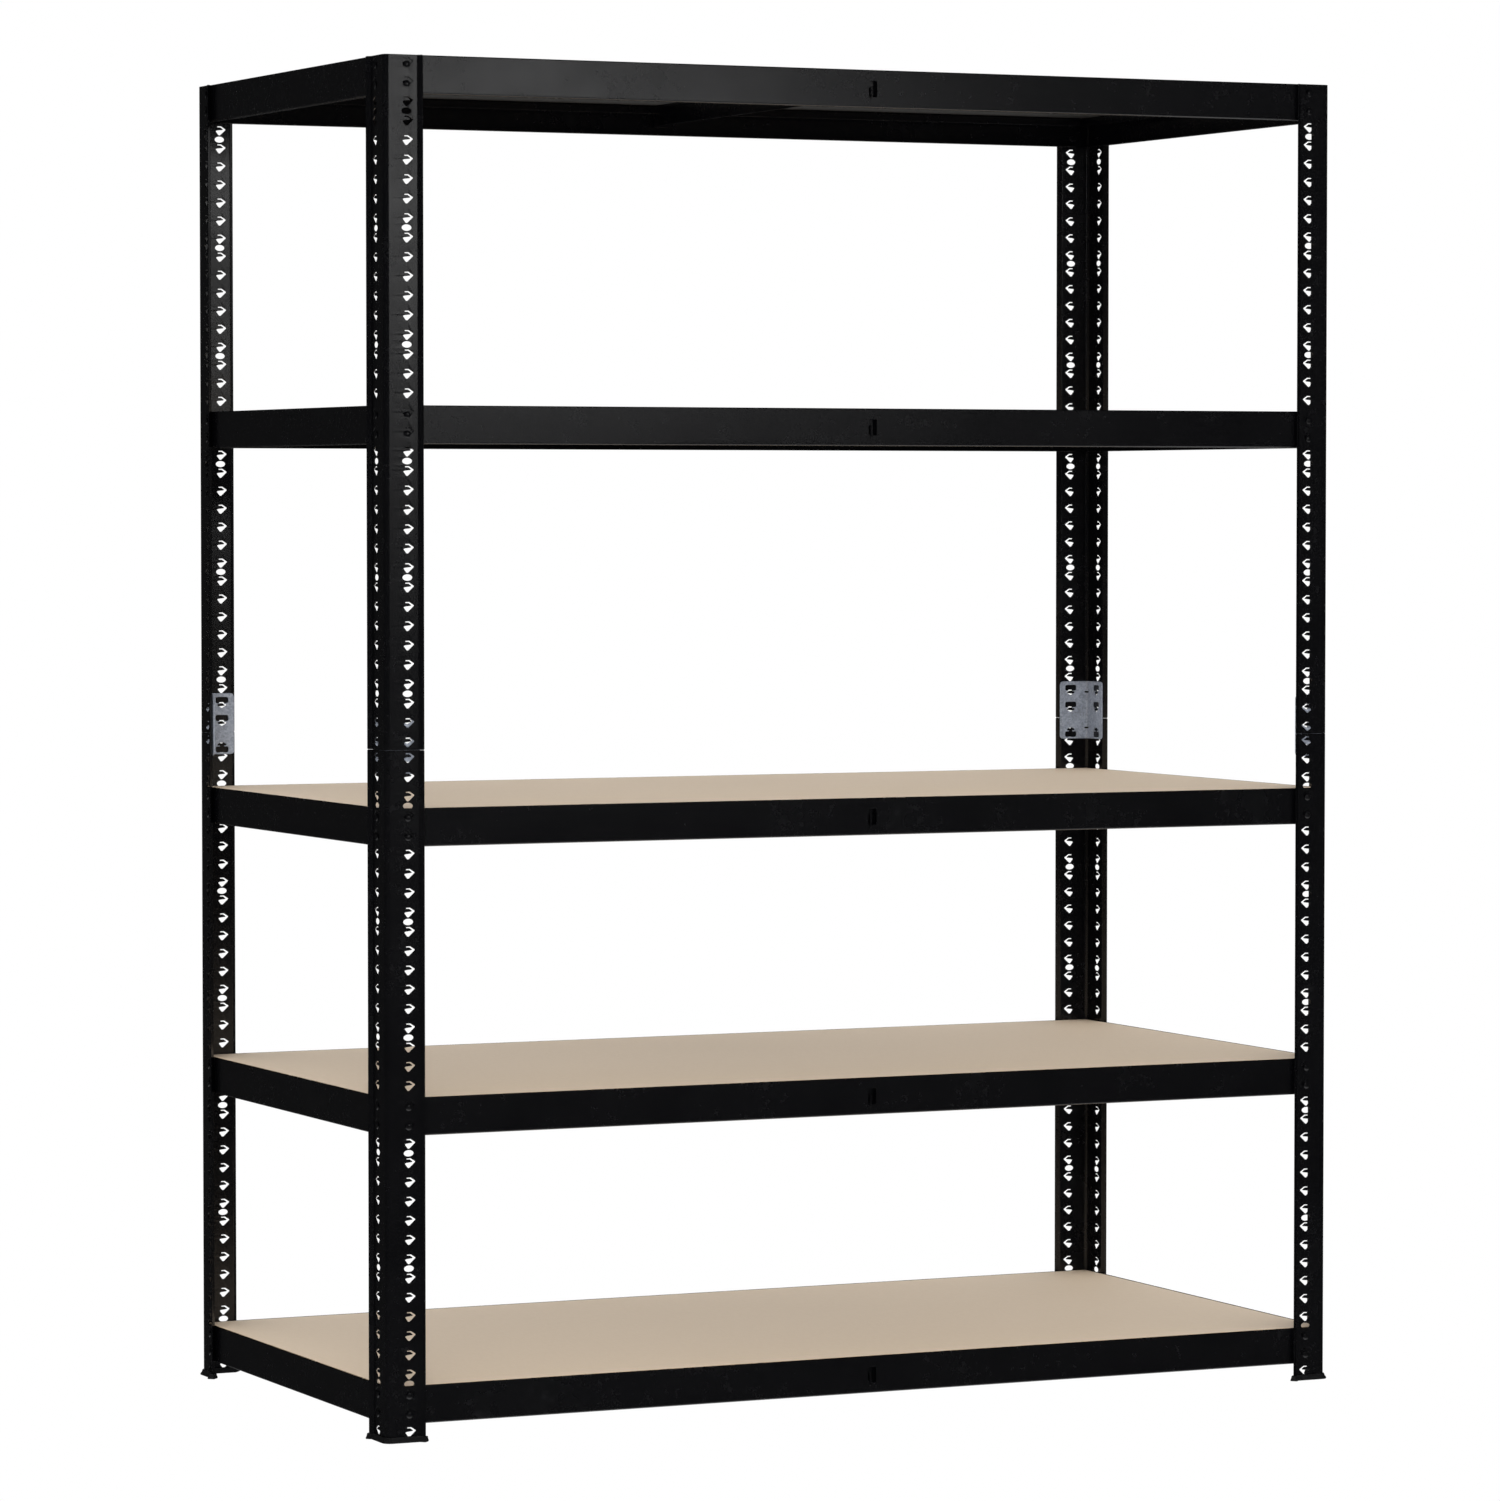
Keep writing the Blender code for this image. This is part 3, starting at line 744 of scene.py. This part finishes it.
# ---- centre supports ------------------------------------------------------------------------
def support_mesh():
    """Two angles back to back along Y, whose webs end in hooked tabs."""
    half = BEAM_STEEL / 2
    web_out = DEPTH / 2 - WEB_INSET
    body_end = web_out - LEDGE_REACH - SUPPORT_LEDGE_CLEARANCE
    plate = BOARD_THICKNESS + FIT_GAP + half
    radius = 0.0013
    web = SLOT_BOTTOM - FIT_GAP - plate - radius
    parts = []
    for side in (-1, 1):
        reach = SUPPORT_TOP_WIDTH / 2 - side * SUPPORT_STEM_OFFSET
        path = [(reach - half - radius, 0), bend(radius, 90), (web + SUPPORT_HOOK_DROP, 0)]
        straight = path_length(path[:2])
        down = straight - radius - half - BOARD_THICKNESS - FIT_GAP
        tab = down + SUPPORT_TAB_TOP
        bottom = straight + web
        hook_out = web_out + FIT_GAP + SUPPORT_HOOK_DEPTH
        end = [
            (0, body_end, 0.004), (straight + 0.001, body_end, 0.001), (tab, body_end, 0.001),
            (tab, hook_out, 0.001), (bottom + SUPPORT_HOOK_DROP, hook_out, 0.0005),
            (bottom + SUPPORT_HOOK_DROP, web_out + FIT_GAP, 0.0003), (bottom, web_out + FIT_GAP, 0.0002),
        ]
        corners = end + [(x, -y, radius_at) for x, y, radius_at in reversed(end)]
        sheet = blank(rounded(corners), [], BEAM_STEEL - 0.00004)
        folded = fold(sheet, path, (reach, -plate), 180)
        folded.transform(ALONG_X)
        folded.transform(turn(90))
        across = Matrix.Diagonal((-1, 1, 1, 1)) if side == -1 else Matrix.Identity(4)
        parts.append(moved(folded, shift(x=SUPPORT_STEM_OFFSET) @ across @ turn(180)))
    half_width = END_FLANGE_HALF_WIDTH
    outline = rectangle(-half_width, half_width, -END_FLANGE_BOTTOM, -END_FLANGE_TOP, SHEET_CORNER)
    flange = blank(outline, [], BEAM_STEEL)
    flange.transform(turn(90, "X"))
    for side in (-1, 1):
        parts.append(moved(flange, shift(y=side * (web_out - END_FLANGE_DEPTH))))
    return smooth(joined(parts))


# ---- boards ---------------------------------------------------------------------------------
def board_mesh():
    """A fibreboard sheet with slightly rounded arrises, whose top is at z = 0."""
    inset = WEB_INSET + HEM_WIDTH + BOARD_CLEARANCE
    half_x = WIDTH / 2 - inset
    half_y = DEPTH / 2 - inset
    outline = rectangle(-half_x, half_x, -half_y, half_y, SHEET_CORNER)
    sheet = blank(outline, [], BOARD_THICKNESS, BOARD_EDGE)
    sheet.transform(shift(z=-BOARD_THICKNESS / 2))
    return smooth(sheet)


# ---- the rack -------------------------------------------------------------------------------
def corner_pieces():
    """The uprights, connectors and feet of the four corners."""
    upright = upright_mesh()
    connector = connector_mesh()
    foot = foot_mesh()
    for corner, (side_x, side_y, angle) in CORNERS.items():
        x, y = side_x * WIDTH / 2, side_y * DEPTH / 2
        for tier in TIERS:
            node = f"{tier}_upright_{corner}"
            place = shift(x, y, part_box(node)[0].z - FIT_GAP) @ turn(angle)
            piece(f"{node}_steel", upright, "black_powder_coat", place, "uprights", node)
        node = f"upright_connector_{corner}"
        inner = shift(x - side_x * WEB_INSET, y - side_y * WEB_INSET, JOINT_HEIGHT)
        piece(f"{node}_plate", connector, "galvanised_steel", inner @ turn(angle), "uprights", node)
        node = f"foot_{corner}"
        piece(f"{node}_moulding", foot, "black_plastic", shift(x, y) @ turn(angle), "uprights", node)


def shelf_pieces():
    """The beams, rivets, centre supports and boards of the five shelves."""
    long_half = WIDTH / 2 - BEAM_END_INSET
    side_half = DEPTH / 2 - BEAM_END_INSET
    long_beam = beam_mesh(long_half, NOTCH_LENGTH, True)
    side_beam = beam_mesh(side_half, 0.0, False)
    long_rivets = rivets_mesh(WIDTH / 2 - KEYHOLE_INSET)
    side_rivets = rivets_mesh(DEPTH / 2 - KEYHOLE_INSET)
    support = support_mesh()
    board = board_mesh()
    web_x = WIDTH / 2 - WEB_INSET
    web_y = DEPTH / 2 - WEB_INSET
    beams = {
        "front": (long_beam, long_rivets, shift(y=-web_y)),
        "back": (long_beam, long_rivets, shift(y=web_y) @ turn(180)),
        "left": (side_beam, side_rivets, shift(x=-web_x) @ turn(-90)),
        "right": (side_beam, side_rivets, shift(x=web_x) @ turn(90)),
    }
    for number in range(1, SHELF_COUNT + 1):
        shelf = f"shelf_{number}"
        level = shift(z=shelf_top(number))
        body = f"{shelf}_frame"
        for side, (beam, rivets, place) in beams.items():
            node = f"{shelf}_{side}_beam"
            piece(f"{node}_steel", beam, "black_powder_coat", level @ place, body, node)
            piece(f"{node}_rivets", rivets, "black_powder_coat", level @ place, body)
        node = f"{shelf}_centre_support"
        piece(f"{node}_steel", support, "black_powder_coat", level, body, node)
        node = f"{shelf}_board"
        piece(f"{node}_sheet", board, "fibreboard", level, f"{shelf}_board", node)


# ---- studio ---------------------------------------------------------------------------------
CAMERA_PLACE = (-3.605, -7.691, 1.219)
CAMERA_YAW = 25.0
CAMERA_PITCH = -2.33
CAMERA_LENS = 146.8
HORIZON_STRENGTH = 4.4          # of the surroundings, for diffuse light
HORIZON_TOP = 0.30              # the sine of the height where they begin to fade
ZENITH_STRENGTH = 0.4
ZENITH_BOTTOM = 0.70            # and where they have faded
REFLECTED_STRENGTH = 0.025      # of the surroundings, where the paint and steel mirror them


def camera():
    """The camera, a long lens low in front of the rack's left end."""
    data = bpy.data.cameras.new("camera")
    data.lens = CAMERA_LENS
    data.sensor_width = 36.0
    data.clip_end = 100.0
    obj = linked("camera", data)
    obj.location = CAMERA_PLACE
    obj.rotation_euler = (math.radians(90 + CAMERA_PITCH), 0, math.radians(-CAMERA_YAW))
    bpy.context.scene.camera = obj


def softbox(name, place, target, size, radiance):
    """A rectangular area light that the camera doesn't see, given by its brightness."""
    data = bpy.data.lights.new(name, "AREA")
    data.shape = "RECTANGLE"
    data.size, data.size_y = size
    data.energy = radiance * math.pi * size[0] * size[1]
    obj = linked(name, data)
    obj.location = place
    obj.rotation_euler = (Vector(target) - Vector(place)).to_track_quat("-Z", "Y").to_euler()
    obj.visible_camera = False
    return obj


def floor():
    """An evenly lit white floor, which the paint doesn't mirror and which is clear from below."""
    mesh = bpy.data.meshes.new("floor")
    bm = bmesh.new()
    bmesh.ops.create_grid(bm, x_segments=1, y_segments=1, size=40.0)
    bm.to_mesh(mesh)
    bm.free()
    obj = linked("floor", mesh)
    obj.location = (0, 0, -0.0005)
    obj.visible_glossy = False
    finish = Finish("floor_white")
    geometry = finish.nodes.new("ShaderNodeNewGeometry")
    finish.link(finish.math("SUBTRACT", 1.0, geometry.outputs["Backfacing"]), finish.shader.inputs["Alpha"])
    finish.shader.inputs["Base Color"].default_value = (0, 0, 0, 1)
    finish.shader.inputs["Specular IOR Level"].default_value = 0.0
    finish.shader.inputs["Emission Color"].default_value = (1, 1, 1, 1)
    finish.shader.inputs["Emission Strength"].default_value = 1.0
    mesh.materials.append(finish.material)


def surroundings():
    """A studio: bright near the horizon in diffuse light, dim in reflections, and white to the camera."""
    world = bpy.data.worlds.new("studio")
    world.use_nodes = True
    nodes, links = world.node_tree.nodes, world.node_tree.links
    background = nodes["Background"]
    background.inputs["Color"].default_value = (1, 1, 1, 1)
    coordinates = nodes.new("ShaderNodeTexCoord")
    direction = nodes.new("ShaderNodeSeparateXYZ")
    links.new(coordinates.outputs["Generated"], direction.inputs[0])
    ambient = nodes.new("ShaderNodeMapRange")
    links.new(direction.outputs["Z"], ambient.inputs["Value"])
    ambient.inputs["From Min"].default_value = HORIZON_TOP
    ambient.inputs["From Max"].default_value = ZENITH_BOTTOM
    ambient.inputs["To Min"].default_value = HORIZON_STRENGTH
    ambient.inputs["To Max"].default_value = ZENITH_STRENGTH
    path = nodes.new("ShaderNodeLightPath")

    def seen_by(ray, value, otherwise):
        """The value for one kind of ray, and another for the rest."""
        mix = nodes.new("ShaderNodeMix")
        links.new(path.outputs[ray], mix.inputs["Factor"])
        for socket, source in ((mix.inputs["A"], otherwise), (mix.inputs["B"], value)):
            if isinstance(source, float):
                socket.default_value = source
            else:
                links.new(source, socket)
        return mix.outputs["Result"]

    unseen = seen_by("Is Diffuse Ray", ambient.outputs["Result"], REFLECTED_STRENGTH)
    links.new(seen_by("Is Camera Ray", 1.0, unseen), background.inputs["Strength"])
    bpy.context.scene.world = world


def studio():
    """The lights and what surrounds the rack."""
    bpy.context.scene.view_settings.view_transform = "Standard"
    surroundings()
    floor()
    key = softbox("key", (-4.4, -8.4, 1.6), (0, 0, 1.4), (5.4, 2.6), 13.0)
    key.visible_glossy = False
    softbox("front", (1.25, -5.0, 1.94), (-0.7, -0.35, 1.7), (1.3, 0.44), 4.8)
    softbox("rear", (5.9, 2.1, 2.2), (0.65, -0.35, 1.75), (0.9, 0.4), 1.5)
    bounce = softbox("bounce", (0, 0, 0.0005), (0, 0, 1), (5.0, 4.0), 1.0)
    bounce.data.spread = math.radians(140)
    bounce.visible_diffuse = False


corner_pieces()
shelf_pieces()
camera()
studio()
